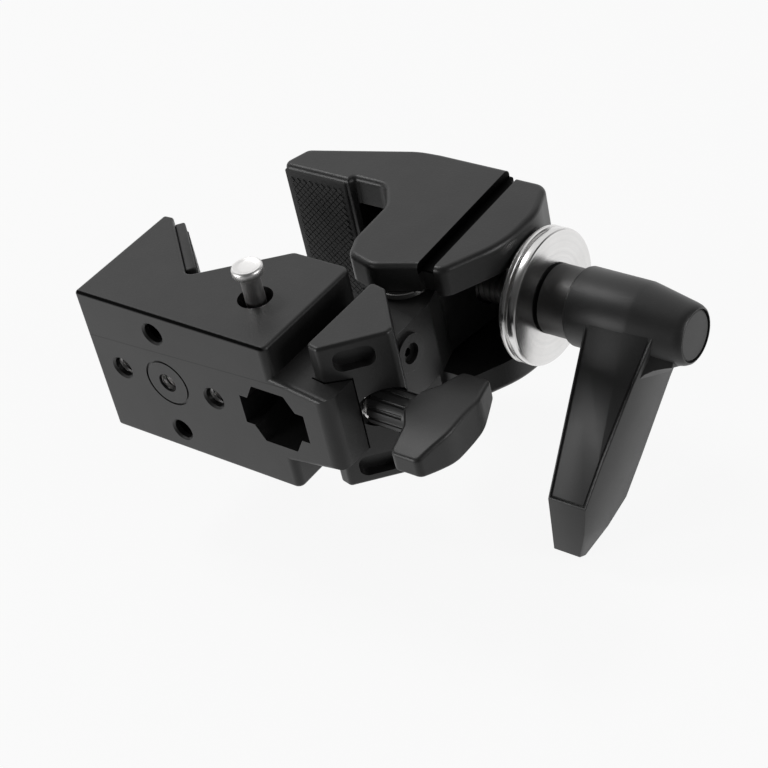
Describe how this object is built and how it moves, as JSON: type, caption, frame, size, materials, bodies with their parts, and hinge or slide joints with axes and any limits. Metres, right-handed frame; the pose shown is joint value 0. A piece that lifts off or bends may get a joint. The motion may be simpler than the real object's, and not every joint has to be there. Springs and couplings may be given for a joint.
{
  "type": "camera super clamp",
  "caption": "Jaw clamp for tubes and rails: vee jaw with threaded mounting holes and a hex stud socket, hinged hook jaw drawn in by a screw with a ratchet lever.",
  "frame": {"origin": "mouth of the centre threaded hole, on the flat mounting face", "axes": "-Y points out of the mounting face, +X runs along it towards the lever's end, +Z is the thickness direction, up as the clamp lies on a table"},
  "size_m": [0.1288, 0.0812, 0.0816],
  "materials": {
    "casting": "satin black powder coat on a die casting",
    "lining": "matt black moulded lining",
    "plastic": "black moulded, fine grain",
    "bright_steel": "bright nickel plate",
    "dark_steel": "blackened"
  },
  "bodies": {
    "fixed": {"fixed_jaw": "casting", "fixed_pad": "lining", "nose_block": "casting", "grub_screw": "dark_steel", "lock_pin_bush": "bright_steel", "lock_pin_plug": "bright_steel", "lock_pin_spring": "dark_steel", "pivot_pin": "bright_steel", "pivot_clip": "dark_steel", "upper_pivot_washer": "bright_steel", "lower_pivot_washer": "bright_steel", "jaw_spring": "dark_steel", "trunnion": "bright_steel"},
    "jaw": {"moving_jaw": "casting", "moving_pad": "lining"},
    "discs": {"inner_disc": "bright_steel", "outer_disc": "bright_steel"},
    "screw": {"main_screw": "bright_steel", "screw_stop_ring": "dark_steel", "hub_insert": "bright_steel", "lever_screw": "dark_steel"},
    "lever_seat": {"spring_seat": "dark_steel", "lever_spring": "dark_steel"},
    "lever": {"lever_handle": "plastic", "lever_cap": "plastic"},
    "shoe": {"clamping_shoe": "bright_steel"},
    "knob": {"knob_screw": "bright_steel", "wing_knob": "plastic"},
    "lock": {"lock_pin": "bright_steel"}
  },
  "joints": [
    {"name": "screw_slide", "type": "slide", "parent": "fixed", "child": "discs", "axis": [1, 0, 0], "range_m": [-0.0083, 0]},
    {"name": "screw_turn", "type": "hinge", "parent": "discs", "child": "screw", "pos_m": [0.0681, 0.0629, 0], "axis": [1, 0, 0], "range_deg": [-1995, 0]},
    {"name": "jaw_pivot", "type": "hinge", "parent": "fixed", "child": "jaw", "pos_m": [0.0409, 0.043, 0], "axis": [0, 0, 1], "range_deg": [0, 28.8]},
    {"name": "lever_turn", "type": "hinge", "parent": "discs", "child": "lever_seat", "pos_m": [0.0831, 0.0629, 0], "axis": [1, 0, 0], "range_deg": [-18, 180]},
    {"name": "lever_pull", "type": "slide", "parent": "lever_seat", "child": "lever", "axis": [1, 0, 0], "range_m": [0, 0.004], "stiffness_N_per_m": 900, "springref_m": -0.003},
    {"name": "shoe_slide", "type": "slide", "parent": "fixed", "child": "shoe", "axis": [1, 0, 0], "range_m": [-0.0016, 0.0008]},
    {"name": "knob_turn", "type": "hinge", "parent": "shoe", "child": "knob", "pos_m": [0.0589, 0.0142, 0], "axis": [1, 0, 0], "range_deg": [-450, 220]},
    {"name": "lock_pin_push", "type": "slide", "parent": "fixed", "child": "lock", "axis": [0, 0, -1], "range_m": [0, 0.0065], "stiffness_N_per_m": 400, "springref_m": -0.003, "deforming": ["lock_pin_spring"]}
  ],
  "couplings": [
    {"joint": "screw_turn", "follows": "screw_slide", "rad_per_m": 4188.8},
    {"joint": "jaw_pivot", "follows": "screw_slide", "rad_per_m": -60.241},
    {"joint": "shoe_slide", "follows": "knob_turn", "m_per_rad": 0.00019894}
  ]
}
